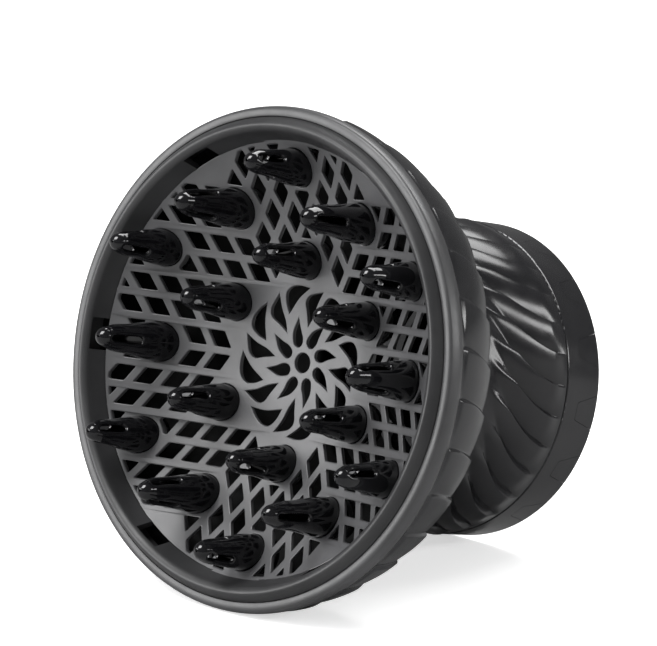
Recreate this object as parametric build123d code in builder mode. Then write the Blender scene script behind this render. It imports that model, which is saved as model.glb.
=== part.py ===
"""Universal hair-dryer diffuser.

A funnel-shaped shell carries a concave grille bowl with eighteen hollow fingers. At its rear a twist
ring turns on the shell and closes eight jaws on the dryer's nozzle through cam grooves in its cap.

Units are millimetres. +Z runs along the air path, from the rear face of the twist ring (z = 0) to the
finger tips. The origin is the centre of that rear face. The middle fingers stand at multiples of
60 degrees from +X, and the outer and inner fingers stand half-way between them.
"""
import os
from math import cos, hypot, radians, sin, sqrt

from build123d import *

os.makedirs("parts", exist_ok=True)

# ---- driving dimensions: shell -----------------------------------------------------------------
wall = 2.0               # shell wall thickness
foot_r = 54.0            # rear end of the shell, beside the twist ring
foot_z = 17.5
neck_r = 46.6            # narrowest place
neck_z = 63.0
flange_back_r = 75.6     # rear edge of the pleated front flange
flange_back_z = 87.0
flange_front_r = 81.8    # front edge of the pleats
flange_front_z = 108.0
rim_r = 82.5             # widest place of the rim
rim_z = 111.5
parting_r = 79.2         # parting line between the shell and the grille bowl
parting_z = 114.2
spigot_r = 49.4          # spigot that the twist ring turns on
spigot_wall = 2.0
spigot_step = 1.8        # thickness of the step between the shell's wall and its spigot

# ---- driving dimensions: grille bowl -----------------------------------------------------------
dish_r = 143.0           # radius of the concave face
dish_centre_z = 90.2     # height of the face on the axis
plate = 2.0              # grille thickness
dish_edge_r = 71.5       # foot of the bowl's side wall
bead_inner_r = 73.8
bead_inner_z = 115.4
bead_top_r = 76.0
bead_top_z = 117.0
skirt_r = 78.8           # skirt that plugs into the shell
skirt_wall = 1.6
skirt_z = 106.0
sectors = 6
sector_angle = 360 / sectors
pitch = 9.07             # lattice pitch along each rib direction
cell = 6.1               # side of a rhombic opening
lattice_inner_r = 28.0
lattice_outer_r = 70.4
smallest_opening = 4.0   # openings with less area than this are left closed, in square mm
window_w = 10.8          # snap window in the side wall
window_z = 109.4
window_top_z = 115.0
hook_w = 9.0
hook_z = 99.0

# ---- driving dimensions: pinwheel vent ---------------------------------------------------------
vent_blades = 8
vent_hole_r = 3.3
# each opening is bounded by edges through points at (radius, angle in degrees)
inner_blade = [
    [(15.0, 13.2), (11.0, 11.6), (8.0, 7.8), (6.0, 12.5), (5.5, 25.0), (6.6, 38.0), (10.2, 31.0), (15.0, 13.2)],
]
middle_blade = [
    [(24.7, 29.0), (20.2, 32.4), (15.5, 34.8), (12.1, 41.0)],
    [(12.1, 41.0), (16.1, 44.5), (20.6, 46.3), (22.1, 43.0), (23.3, 36.6), (24.7, 29.0)],
]
outer_blade = [
    [(24.7, 43.0), (21.5, 54.0), (17.2, 71.0)],
    [(17.2, 71.0), (20.9, 70.3), (24.2, 66.5), (25.2, 61.5), (25.3, 53.0), (24.7, 43.0)],
]

# ---- driving dimensions: fingers ---------------------------------------------------------------
finger_wall = 1.3
finger_clearance = 0.1   # finger in its boss
boss_wall = 0.9          # wall of the boss round a finger's foot
boss_margin = 0.25       # plain grille between a boss and the nearest opening
foot_flange = 1.4        # thickness of a finger's flange behind its boss
slots_per_finger = 3
slot_w = 3.0
tip_hole_r = 0.45
# name: (distance from the axis, first angle, foot radius, height above the dish)
fingers = {
    "prong_outer": (63.2, 30.0, 6.1, 25.0),
    "prong_mid": (54.9, 0.0, 6.6, 29.5),
    "prong_inner": (33.6, 30.0, 6.1, 26.0),
}

# ---- driving dimensions: twist ring and nozzle grip ---------------------------------------------
ring_r = 54.2
ring_inner_r = 51.6
ring_h = 17.2
lip_r = 49.7             # lip that hooks over the deck
lip_z = 12.4
lip_h = 1.6
lugs = 16
lug_first = 17.0         # angle of the first lug
lug_base = 11.6
lug_top = 5.8
lug_h = 10.3
lug_corner = 1.0
seam = 0.12              # gap between a lug and its notch
cap_h = 3.2
socket_r = 34.0          # nozzle opening
deck_z = 9.8
deck_h = 2.2
deck_r = 51.2
deck_bore_r = 36.5
jaws = 8
jaw_angle = 360 / jaws
jaw_z = 4.3
jaw_h = 5.1
pivot_r = 45.5           # distance of the jaw pivots from the axis
hub_r = 4.2
jaw_half_w = 2.9
jaw_mid = (43.4, 17.0)   # (radius, angle) on the jaw's centre line
jaw_tip = (39.3, 36.0)
pad_start = (42.6, 21.0)
pad_mid = (41.1, 28.5)
pad_thickness = 1.5
pad_h = 4.1
pin_r = 1.5
pin_clearance = 0.08
pin_head_r = 2.5
pin_head_h = 0.6
drive_at = (45.2, 10.5)  # (radius, angle) of the jaw's drive stud
drive_r = 1.2
groove_clearance = 0.3
groove_floor = 1.2
ring_travel = 30.0       # twist from open to closed
jaw_ratio = 1.2          # jaw angle per ring angle
screw_at_r = 46.4
screw_angle = 33.5
screws = 4
screw_r = 1.2
screw_head_r = 1.9
screw_head_h = 1.2
boss_r = 2.4
boss_top_z = 24.0
seal_r = 50.4
seal_section_r = 0.85


def polar(radius, angle):
    """Point at a radius and an angle in degrees."""
    return (radius * cos(radians(angle)), radius * sin(radians(angle)))


def turned(point, angle, centre=(0, 0)):
    """The point turned about a centre, angle in degrees."""
    x, y = point[0] - centre[0], point[1] - centre[1]
    c, s = cos(radians(angle)), sin(radians(angle))
    return (centre[0] + c * x - s * y, centre[1] + s * x + c * y)


def dish_z(radius, depth=0):
    """Height of the concave face at a distance from the axis, or of the surface a depth behind it."""
    return dish_centre_z + dish_r - sqrt((dish_r + depth) ** 2 - radius**2)


def radial_plane(x, y, z, angle):
    """Upright plane through a point: local X points outwards at the angle, local Y points up."""
    out = polar(1, angle)
    return Plane(origin=(x, y, z), x_dir=(*out, 0), z_dir=(out[1], -out[0], 0))


def facing_plane(x, y, z, angle):
    """Upright plane through a point whose normal points outwards at the angle, local Y up."""
    return Plane(origin=(x, y, z), x_dir=(*polar(1, angle + 90), 0), z_dir=(*polar(1, angle), 0))


def finger_places():
    """Every finger: node name, x, y, direction, foot radius, height, distance from the axis."""
    for name, (distance, first, foot, height) in fingers.items():
        for k in range(sectors):
            angle = first + k * sector_angle
            yield f"{name}_{k + 1}", *polar(distance, angle), angle, foot, height, distance


def clipped(polygon, normal, limit):
    """The part of a convex polygon where point . normal >= limit."""
    kept = []
    for a, b in zip(polygon, polygon[1:] + polygon[:1]):
        da = a[0] * normal[0] + a[1] * normal[1] - limit
        db = b[0] * normal[0] + b[1] * normal[1] - limit
        if da >= 0:
            kept.append(a)
        if da * db < 0:
            t = da / (da - db)
            kept.append((a[0] + t * (b[0] - a[0]), a[1] + t * (b[1] - a[1])))
    return kept


def area(polygon):
    """Area of a polygon."""
    pairs = zip(polygon, polygon[1:] + polygon[:1])
    return abs(sum(a[0] * b[1] - b[0] * a[1] for a, b in pairs)) / 2


def lattice_openings():
    """Rhombic openings of all sectors, trimmed at the finger bosses, the vent and the side wall."""
    count = int(lattice_outer_r / pitch) + 1
    corners = ((1, 1), (-1, 1), (-1, -1), (1, -1))
    for sector in range(sectors):
        first = polar(1, sector * sector_angle)
        second = polar(1, (sector + 1) * sector_angle)
        for i in range(count):
            for j in range(count):
                u, v = (i + 0.5) * pitch, (j + 0.5) * pitch
                rhombus = []
                for a, b in corners:
                    p, q = u + a * cell / 2, v + b * cell / 2
                    rhombus.append((p * first[0] + q * second[0], p * first[1] + q * second[1]))
                centre = (u * first[0] + v * second[0], u * first[1] + v * second[1])
                beside_window = max(i, j) > 6 and min(i, j) == 0
                outline = trimmed(rhombus, centre)
                if outline and not beside_window:
                    yield outline


def trimmed(outline, centre):
    """An opening's outline cut back from bosses, vent and wall, or None if too little is left."""
    reach = hypot(*centre)
    if reach > lattice_outer_r + pitch or reach < lattice_inner_r:
        return None
    out = (centre[0] / reach, centre[1] / reach)
    outline = clipped(outline, out, lattice_inner_r)
    outline = clipped(outline, (-out[0], -out[1]), -lattice_outer_r)
    for _, x, y, _, foot, _, _ in finger_places():
        gap = (centre[0] - x, centre[1] - y)
        away = hypot(*gap)
        if away < 2 * pitch:
            normal = (gap[0] / away, gap[1] / away)
            limit = x * normal[0] + y * normal[1] + foot + boss_wall + boss_margin
            outline = clipped(outline, normal, limit)
    return outline if len(outline) > 2 and area(outline) > smallest_opening else None


# ---- outer shell --------------------------------------------------------------------------------
with BuildPart() as outer_shell:
    with BuildSketch(Plane.XZ):
        with BuildLine():
            bell = Spline(
                (foot_r, foot_z),
                (foot_r - 1.1, foot_z + 11),
                (neck_r + 2.9, neck_z - 17),
                (neck_r, neck_z),
                tangents=[(0, 1), (0, 1)],
            )
            flare = Spline(
                bell @ 1,
                (neck_r + 4.4, neck_z + 13.5),
                (flange_back_r - 12, flange_back_z - 3.3),
                (flange_back_r, flange_back_z),
                tangents=[(0, 1), (1, 0.1)],
            )
            flange = ThreePointArc(
                flare @ 1,
                (flange_back_r + 4.6, flange_back_z + 12.2),
                (flange_front_r, flange_front_z),
            )
            rim = ThreePointArc(flange @ 1, (rim_r, rim_z), (rim_r - 0.6, parting_z - 0.3))
            Line(rim @ 1, (parting_r, parting_z))
            Line((parting_r, parting_z), (flange_front_r - wall - 0.3, flange_front_z))
            inner_flange = ThreePointArc(
                (flange_front_r - wall - 0.3, flange_front_z),
                (flange_back_r + 4.6 - wall, flange_back_z + 12.2),
                (flange_back_r - wall, flange_back_z + wall),
            )
            inner_flare = Spline(
                inner_flange @ 1,
                (flange_back_r - 12, flange_back_z - 3.3 + wall),
                (neck_r + 4.4 - 1.6, neck_z + 14.8),
                (neck_r - wall, neck_z),
                tangents=[(-1, -0.1), (0, -1)],
            )
            Spline(
                inner_flare @ 1,
                (neck_r + 2.9 - wall, neck_z - 17),
                (foot_r - 1.1 - wall, foot_z + 11),
                (foot_r - wall, foot_z),
                tangents=[(0, -1), (0, -1)],
            )
            Line((foot_r - wall, foot_z), (foot_r, foot_z))
        make_face()
    revolve(axis=Axis.Z)
    # step and spigot that carry the twist ring
    with BuildSketch(Plane.XY.offset(foot_z)):
        Circle(foot_r - wall / 2)
        Circle(spigot_r - spigot_wall, mode=Mode.SUBTRACT)
    extrude(amount=spigot_step)
    with BuildSketch(Plane.XY.offset(deck_z + deck_h)):
        Circle(spigot_r)
        Circle(spigot_r - spigot_wall, mode=Mode.SUBTRACT)
    extrude(until=Until.NEXT)
    # screw bosses inside the spigot
    with BuildSketch(Plane.XY.offset(deck_z + deck_h)):
        with PolarLocations(screw_at_r, screws, start_angle=screw_angle):
            Circle(boss_r)
    extrude(amount=boss_top_z - deck_z - deck_h)
    with BuildSketch(Plane.XY.offset(deck_z + deck_h)):
        with PolarLocations(screw_at_r, screws, start_angle=screw_angle):
            Circle(screw_r)
    extrude(amount=boss_top_z - deck_z - deck_h - 2, mode=Mode.SUBTRACT)
    # pockets for the bowl's snap hooks
    with PolarLocations(0, sectors):
        with Locations((skirt_r - 0.4, 0, hook_z + 2)):
            Box(2 * wall - 1.2, hook_w + 0.6, 3.6, mode=Mode.SUBTRACT)
outer_shell.part.label = "outer_shell"
export_step(outer_shell.part, "parts/outer_shell.step")

# ---- grille bowl --------------------------------------------------------------------------------
with BuildPart() as grille_bowl:
    with BuildSketch(Plane.XZ):
        with BuildLine():
            face = ThreePointArc(
                (0, dish_centre_z),
                (dish_edge_r / 2, dish_z(dish_edge_r / 2)),
                (dish_edge_r, dish_z(dish_edge_r)),
            )
            Line(face @ 1, (bead_inner_r, bead_inner_z))
            bead = Spline(
                (bead_inner_r, bead_inner_z),
                (bead_top_r, bead_top_z),
                (skirt_r, parting_z),
                tangents=[(0.3, 1), (0.2, -1)],
            )
            Polyline(
                bead @ 1,
                (skirt_r, skirt_z),
                (skirt_r - skirt_wall, skirt_z),
                (skirt_r - skirt_wall, parting_z - wall),
                (bead_inner_r + plate, bead_inner_z - wall),
                (dish_edge_r + plate, dish_z(dish_edge_r + plate, plate)),
            )
            ThreePointArc(
                (dish_edge_r + plate, dish_z(dish_edge_r + plate, plate)),
                (dish_edge_r / 2, dish_z(dish_edge_r / 2, plate)),
                (0, dish_centre_z - plate),
            )
            Line((0, dish_centre_z - plate), (0, dish_centre_z))
        make_face()
    revolve(axis=Axis.Z)
    # pinwheel vent
    with BuildSketch(Plane.XY.offset(dish_centre_z - plate - 1)):
        Circle(vent_hole_r)
        for k in range(vent_blades):
            turn = k * 360 / vent_blades
            for blade in (inner_blade, middle_blade, outer_blade):
                with BuildLine():
                    for edge in blade:
                        Spline(*[polar(radius, angle + turn) for radius, angle in edge])
                make_face()
    extrude(amount=8, mode=Mode.SUBTRACT)
    # bosses behind the plate, one for each finger, ending inside the plate
    with BuildPart(mode=Mode.PRIVATE) as bosses:
        for _, x, y, _, foot, _, distance in finger_places():
            boss = foot + boss_wall
            boss_base = dish_z(distance - boss) - plate - 1
            with BuildSketch(Plane.XY.offset(boss_base)):
                with Locations((x, y)):
                    Circle(boss)
            extrude(amount=dish_z(distance + boss) - boss_base)
        with BuildSketch(Plane.XZ):
            with BuildLine():
                inside_plate = ThreePointArc(
                    (0, dish_centre_z - plate / 2),
                    (dish_edge_r / 2, dish_z(dish_edge_r / 2, plate / 2)),
                    (dish_edge_r, dish_z(dish_edge_r, plate / 2)),
                )
                Polyline(
                    inside_plate @ 1,
                    (dish_edge_r, bead_top_z),
                    (0, bead_top_z),
                    (0, dish_centre_z - plate / 2),
                )
            make_face()
        revolve(axis=Axis.Z, mode=Mode.SUBTRACT)
    add(bosses.part)
    # finger holes
    for _, x, y, _, foot, _, distance in finger_places():
        with BuildSketch(Plane.XY.offset(dish_centre_z - plate - 6)):
            with Locations((x, y)):
                Circle(foot + finger_clearance)
        extrude(amount=40, mode=Mode.SUBTRACT)
    # lattice
    with BuildSketch(Plane.XY.offset(dish_centre_z - plate - 1)):
        for outline in lattice_openings():
            with BuildLine():
                Polyline(*outline, close=True)
            make_face()
    extrude(amount=dish_z(dish_edge_r) - dish_centre_z + plate + 2, mode=Mode.SUBTRACT)
    # snap windows in the side wall, and the snap hooks on the skirt
    with PolarLocations(0, sectors):
        with Locations((dish_edge_r + 2.7, 0, (window_z + window_top_z) / 2)):
            Box(5.8, window_w, window_top_z - window_z, mode=Mode.SUBTRACT)
        with Locations((skirt_r - 1.8, 0, (hook_z + skirt_z) / 2)):
            Box(skirt_wall - 0.4, hook_w, skirt_z - hook_z + 2)
        with Locations((skirt_r - 0.6, 0, hook_z + 1.6)):
            Box(1.4, hook_w, 1.6)
grille_bowl.part.label = "grille_bowl"
export_step(grille_bowl.part, "parts/grille_bowl.step")

# ---- fingers -------------------------------------------------------------------------------------
for name, x, y, angle, foot, height, distance in finger_places():
    boss = foot + boss_wall
    seat = dish_z(distance - boss) - plate - 1 - dish_z(distance)
    base = dish_z(distance)
    with BuildPart() as prong:
        with BuildSketch(radial_plane(x, y, base, angle)):
            with BuildLine():
                Polyline((0, seat - foot_flange), (boss, seat - foot_flange), (boss, seat), (foot, seat))
                Line((foot, seat), (foot, 1))
                side = Spline(
                    (foot, 1),
                    (0.76 * foot, 0.52 * height),
                    (0.5 * foot, 0.88 * height),
                    (0, height),
                    tangents=[(0, 1), (-1, 0)],
                )
                Line(side @ 1, (0, seat - foot_flange))
            make_face()
        revolve(axis=Axis((x, y, base), (0, 0, 1)))
        with BuildSketch(radial_plane(x, y, base, angle)):
            with BuildLine():
                Line((0, seat - foot_flange), (foot - finger_wall, seat - foot_flange))
                Line((foot - finger_wall, seat - foot_flange), (foot - finger_wall, 1))
                Spline(
                    (foot - finger_wall, 1),
                    (0.76 * foot - finger_wall, 0.52 * height),
                    (0.5 * foot - finger_wall, 0.86 * height),
                    (0, height - finger_wall - 0.6),
                    tangents=[(0, 1), (-1, 0)],
                )
                Line((0, height - finger_wall - 0.6), (0, seat - foot_flange))
            make_face()
        revolve(axis=Axis((x, y, base), (0, 0, 1)), mode=Mode.SUBTRACT)
        for k in range(slots_per_finger):
            facing = angle + 180 + k * 360 / slots_per_finger
            with BuildSketch(facing_plane(x, y, base + 0.66 * height, facing)):
                SlotOverall(0.44 * height, slot_w, rotation=90)
            extrude(amount=foot, mode=Mode.SUBTRACT)
        with BuildSketch(Plane.XY.offset(base + height / 2)):
            with Locations((x, y)):
                Circle(tip_hole_r)
        extrude(amount=height, mode=Mode.SUBTRACT)
    prong.part.label = name
    export_step(prong.part, f"parts/{name}.step")

# ---- twist ring and its cap ----------------------------------------------------------------------
def lug_outline(gap):
    """Trapezoid of one lug, seen from outside, widest at the rear face, grown by a gap."""
    half_base, half_top = lug_base / 2 + gap, lug_top / 2 + gap
    with BuildSketch(facing_plane(0, 0, 0, 0)) as outline:
        with BuildLine():
            Polyline(
                (-half_base, -1), (half_base, -1), (half_base, 0),
                (half_top, lug_h + gap), (-half_top, lug_h + gap), (-half_base, 0), close=True,
            )
        make_face()
        fillet(outline.vertices().group_by(Axis.Y)[-1], lug_corner)
    return outline.sketch


with BuildPart() as lock_ring:
    with BuildSketch():
        Circle(ring_r)
        Circle(ring_inner_r, mode=Mode.SUBTRACT)
    extrude(amount=ring_h)
    front_edges = lock_ring.edges().filter_by(GeomType.CIRCLE).group_by(Axis.Z)[-1]
    fillet(front_edges.sort_by(SortBy.RADIUS)[-1], 0.6)
    with BuildSketch(Plane.XY.offset(lip_z)):
        Circle(ring_inner_r + 0.5)
        Circle(lip_r, mode=Mode.SUBTRACT)
    extrude(amount=lip_h)
    notch = extrude(lug_outline(seam), amount=2 * ring_r, mode=Mode.PRIVATE)
    for k in range(lugs):
        add(notch.rotate(Axis.Z, lug_first + k * 360 / lugs), mode=Mode.SUBTRACT)
lock_ring.part.label = "lock_ring"
export_step(lock_ring.part, "parts/lock_ring.step")

with BuildPart() as rear_cap:
    with BuildSketch():
        Circle(ring_r)
        Circle(ring_inner_r, mode=Mode.SUBTRACT)
    extrude(amount=lug_h)
    lug = extrude(lug_outline(0), amount=2 * ring_r, mode=Mode.PRIVATE)
    with BuildPart(mode=Mode.PRIVATE) as lug_set:
        for k in range(lugs):
            add(lug.rotate(Axis.Z, lug_first + k * 360 / lugs))
    add(lug_set.part, mode=Mode.INTERSECT)
    with BuildSketch():
        Circle(ring_inner_r - seam)
        Circle(socket_r, mode=Mode.SUBTRACT)
    extrude(amount=cap_h)
    # bridges from the plate to the lugs
    with BuildSketch():
        with PolarLocations(ring_inner_r, lugs, start_angle=lug_first):
            Rectangle(1.2, lug_base - 3)
    extrude(amount=cap_h)
    # cam grooves, open towards the jaws
    pivot = (pivot_r, 0)
    steps = 6
    path = []
    for n in range(steps + 1):
        twist = ring_travel * n / steps
        path.append(turned(turned(polar(*drive_at), jaw_ratio * twist, pivot), -twist))
    groove_w = 2 * (drive_r + groove_clearance)
    for k in range(jaws):
        stops = [turned(point, k * jaw_angle) for point in path]
        with BuildSketch(Plane.XY.offset(groove_floor)):
            with BuildLine():
                Spline(*stops)
            trace(line_width=groove_w)
            with Locations(stops[0], stops[-1]):
                Circle(groove_w / 2)
        extrude(amount=cap_h, mode=Mode.SUBTRACT)
rear_cap.part.label = "rear_cap"
export_step(rear_cap.part, "parts/rear_cap.step")

# ---- jaws, pads and deck -------------------------------------------------------------------------
for k in range(jaws):
    turn = k * jaw_angle

    def at(place):
        """Point of jaw k from a radius and an angle on the first jaw."""
        return polar(place[0], place[1] + turn)

    with BuildPart() as jaw:
        with BuildSketch(Plane.XY.offset(jaw_z)):
            with BuildLine():
                ThreePointArc(at((pivot_r, 0)), at(jaw_mid), at(jaw_tip))
            trace(line_width=2 * jaw_half_w)
            with Locations(at(jaw_tip)):
                Circle(jaw_half_w)
            with Locations(at((pivot_r, 0))):
                Circle(hub_r)
        extrude(amount=jaw_h)
        with BuildSketch(Plane.XY.offset(jaw_z - 1)):
            with Locations(at((pivot_r, 0))):
                Circle(pin_r + pin_clearance)
        extrude(amount=jaw_h + 2, mode=Mode.SUBTRACT)
        with BuildSketch(Plane.XY.offset(groove_floor + groove_clearance)):
            with Locations(at(drive_at)):
                Circle(drive_r)
        extrude(amount=jaw_z - groove_floor)
    jaw.part.label = f"jaw_{k + 1}"
    export_step(jaw.part, f"parts/jaw_{k + 1}.step")

    with BuildPart() as jaw_pad:
        with BuildSketch(Plane.XY.offset(jaw_z + (jaw_h - pad_h) / 2)) as pad_section:
            with BuildLine():
                ThreePointArc(at(pad_start), at(pad_mid), at(jaw_tip))
            trace(line_width=2 * (jaw_half_w + pad_thickness))
            with BuildLine():
                ThreePointArc(at((pivot_r, 0)), at(jaw_mid), at(jaw_tip))
            trace(line_width=2 * jaw_half_w, mode=Mode.SUBTRACT)
        strips = pad_section.sketch.faces().sort_by(lambda f: hypot(f.center().X, f.center().Y))
        extrude(strips[0], amount=pad_h)
    jaw_pad.part.label = f"jaw_pad_{k + 1}"
    export_step(jaw_pad.part, f"parts/jaw_pad_{k + 1}.step")

with BuildPart() as iris_deck:
    with BuildSketch(Plane.XY.offset(deck_z)):
        Circle(deck_r)
        Circle(deck_bore_r, mode=Mode.SUBTRACT)
        with PolarLocations(pivot_r, jaws):
            Circle(pin_r + 0.02, mode=Mode.SUBTRACT)
        with PolarLocations(screw_at_r, screws, start_angle=screw_angle):
            Circle(screw_r + 0.1, mode=Mode.SUBTRACT)
    extrude(amount=deck_h)
iris_deck.part.label = "iris_deck"
export_step(iris_deck.part, "parts/iris_deck.step")

with BuildPart() as pivot_pins:
    with BuildSketch(Plane.XY.offset(jaw_z - 0.1 - pin_head_h)):
        with PolarLocations(pivot_r, jaws):
            Circle(pin_head_r)
    extrude(amount=pin_head_h)
    with BuildSketch(Plane.XY.offset(jaw_z - 0.1)):
        with PolarLocations(pivot_r, jaws):
            Circle(pin_r)
    extrude(amount=deck_z + deck_h - jaw_z)
pivot_pins.part.label = "pivot_pins"
export_step(pivot_pins.part, "parts/pivot_pins.step")

with BuildPart() as deck_screws:
    with BuildSketch(Plane.XY.offset(deck_z - screw_head_h)):
        with PolarLocations(screw_at_r, screws, start_angle=screw_angle):
            Circle(screw_head_r)
    extrude(amount=screw_head_h)
    with BuildSketch(Plane.XY.offset(deck_z)):
        with PolarLocations(screw_at_r, screws, start_angle=screw_angle):
            Circle(screw_r - 0.05)
    extrude(amount=9)
deck_screws.part.label = "deck_screws"
export_step(deck_screws.part, "parts/deck_screws.step")

with BuildPart() as ring_seal:
    with BuildSketch(Plane.XZ):
        with Locations((seal_r, foot_z - seal_section_r - 0.1)):
            Circle(seal_section_r)
    revolve(axis=Axis.Z)
ring_seal.part.label = "ring_seal"
export_step(ring_seal.part, "parts/ring_seal.step")
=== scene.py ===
"""Looks of a finger diffuser for a hair dryer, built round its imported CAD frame.

Lengths are in millimetres until a mesh is made, which is where MM turns them into metres. +Z runs from
the twist ring's rear face to the finger tips, as in the CAD frame.
"""
from math import asin, cos, degrees, hypot, pi, radians, sin, sqrt

import bmesh
import bpy
from mathutils import Matrix, Vector


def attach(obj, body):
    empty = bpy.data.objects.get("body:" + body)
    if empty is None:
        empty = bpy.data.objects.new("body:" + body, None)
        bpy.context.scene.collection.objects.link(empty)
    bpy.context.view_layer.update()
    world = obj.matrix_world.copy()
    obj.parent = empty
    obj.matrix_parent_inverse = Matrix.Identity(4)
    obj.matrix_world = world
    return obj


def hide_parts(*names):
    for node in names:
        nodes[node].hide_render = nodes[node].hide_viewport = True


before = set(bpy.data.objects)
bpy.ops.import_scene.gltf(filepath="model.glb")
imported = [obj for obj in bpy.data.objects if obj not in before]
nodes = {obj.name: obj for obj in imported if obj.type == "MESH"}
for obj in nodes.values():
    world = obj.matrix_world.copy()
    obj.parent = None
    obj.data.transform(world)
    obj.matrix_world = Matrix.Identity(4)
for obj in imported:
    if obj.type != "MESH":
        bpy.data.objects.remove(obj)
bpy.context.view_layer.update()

MM = 0.001

# ---- shell ---------------------------------------------------------------------------------------
wall = 2.0
foot_r, foot_z = 54.0, 17.5
neck_r, neck_z = 46.6, 63.0
flange_back_r, flange_back_z = 75.6, 87.0
flange_front_r, flange_front_z = 81.8, 108.0
rim_r, rim_z = 82.5, 111.5
parting_r, parting_z = 79.2, 114.2
spigot_r, spigot_z, spigot_wall = 49.4, 12.1, 2.0
pleats = 32
pleat_angle = 360 / pleats
bell_depth = 2.2         # height of a bell pleat over its valley
bell_top_z = 52.0        # tips of the bell's petals
bell_seam, bell_swirl = 3.2, 25.0    # seam angle at the foot, and how far it swirls to the petal's tip
bell_curl = 2.1          # how much the swirl gathers towards the tip
petal_arch = 6.0         # how far a petal's corners fall back from its tip
petal_fade, foot_fade = 6.0, 8.0     # heights over which a bell pleat runs out at its tip and foot
flange_depth = 1.0
flange_seam, flange_swirl = 9.6, 3.4
flange_start_r = 67.0    # where the pleats rise out of the flange's back
pleat_sunk = 0.3         # share of a pleat's depth that lies below the plain shell
pleat_crest = 0.93       # where across a pleat its crest lies; the step down to the seam follows
pleat_shares = (
    0, 0.03, 0.07, 0.12, 0.18, 0.25, 0.33, 0.42, 0.51, 0.6, 0.69, 0.77, 0.84, 0.89, 0.925, 0.95, 0.98,
)                        # grid lines across a pleat, closer together at its seam

# ---- grille --------------------------------------------------------------------------------------
dish_r = 143.0
dish_centre_z = 90.2
plate = 2.0              # thickness of the bowl at its side wall and under the bosses
sheet_thickness = 1.5    # of the lattice itself
dish_edge_r = 71.5
bead_inner_r, bead_inner_z = 73.8, 115.4
bead_top_r, bead_top_z = 76.0, 117.0
skirt_r, skirt_z, skirt_wall = 78.8, 106.0, 1.6
sectors = 6
sector_angle = 360 / sectors
pitch = 9.07
cell = 6.1
lattice_inner_r, lattice_outer_r = 28.0, 70.4
last_full_row = 6        # further out, the row beside a sector's edge makes room for a snap window
smallest_opening = 4.0
corner_r, corner_steps = 0.55, 3     # rounding of the lattice's corners
foot_gap = 0.12          # between a finger's foot and the hole it sits in
window_w, window_z, window_top_z = 10.8, 109.4, 115.0
window_inside, window_outside, window_below = 3.0, 5.6, 3.0     # reach of the windows' cutter
edge_chamfer = 0.3
seam_bevel = 0.25        # softened edges of the cap's lugs
vent_blades = 8
vent_hole_r = 3.3
# the vent's three blades: smooth edges through points of (radius, angle)
inner_blade = [
    [
        (15.0, 13.2), (11.0, 11.6), (8.0, 7.8), (6.0, 12.5),
        (5.5, 25.0), (6.6, 38.0), (10.2, 31.0), (15.0, 13.2),
    ],
]
middle_blade = [
    [(24.7, 29.0), (20.2, 32.4), (15.5, 34.8), (12.1, 41.0)],
    [(12.1, 41.0), (16.1, 44.5), (20.6, 46.3), (22.1, 43.0), (23.3, 36.6), (24.7, 29.0)],
]
outer_blade = [
    [(24.7, 43.0), (21.5, 54.0), (17.2, 71.0)],
    [(17.2, 71.0), (20.9, 70.3), (24.2, 66.5), (25.2, 61.5), (25.3, 53.0), (24.7, 43.0)],
]

# ---- fingers -------------------------------------------------------------------------------------
finger_wall = 1.3
boss_wall, boss_margin = 0.9, 0.25
foot_flange = 1.4
slot_w = 3.0
slot_half_share, slot_mid_share = 0.22, 0.66     # of the finger's height
slots = 3
slot_facing = 180.0      # the first slot faces the axis
slot_lip = 0.75
tip_hole_r = 0.45
# node name: distance from the axis, angle of the first, foot radius, height
fingers = {
    "prong_outer": (63.2, 30.0, 6.1, 25.0),
    "prong_mid": (54.9, 0.0, 6.6, 29.5),
    "prong_inner": (33.6, 30.0, 6.1, 26.0),
}


# ---- outlines ------------------------------------------------------------------------------------
def polar(radius, angle):
    """Point at a radius and an angle in degrees."""
    return (radius * cos(radians(angle)), radius * sin(radians(angle)))


def dish_z(radius, depth=0.0):
    """Height of the concave face at a distance from the axis, or of the surface a depth behind it."""
    return dish_centre_z + dish_r - sqrt((dish_r + depth) ** 2 - radius**2)


def ease(t):
    """Smooth step from 0 to 1."""
    t = min(max(t, 0.0), 1.0)
    return t * t * (3 - 2 * t)


def smooth_path(points, start=None, end=None, steps=10):
    """Points along a smooth curve through the given ones, which leaves along start and arrives along end."""
    gaps = [hypot(b[0] - a[0], b[1] - a[1]) for a, b in zip(points, points[1:])]
    slopes = [((b[0] - a[0]) / g, (b[1] - a[1]) / g) for a, b, g in zip(points, points[1:], gaps)]
    tangents = []
    for i in range(len(points)):
        if i == 0:
            tangents.append(start or slopes[0])
        elif i == len(points) - 1:
            tangents.append(end or slopes[-1])
        else:
            before, after = gaps[i - 1], gaps[i]
            tangents.append(tuple(
                (slopes[i - 1][c] * after + slopes[i][c] * before) / (before + after) for c in (0, 1)
            ))
    path = []
    for i, gap in enumerate(gaps):
        for n in range(steps):
            t = n / steps
            weights = (
                2 * t**3 - 3 * t**2 + 1,
                (t**3 - 2 * t**2 + t) * gap,
                3 * t**2 - 2 * t**3,
                (t**3 - t**2) * gap,
            )
            ends = (points[i], tangents[i], points[i + 1], tangents[i + 1])
            path.append(tuple(sum(w * e[c] for w, e in zip(weights, ends)) for c in (0, 1)))
    path.append(tuple(points[-1]))
    return path


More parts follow.
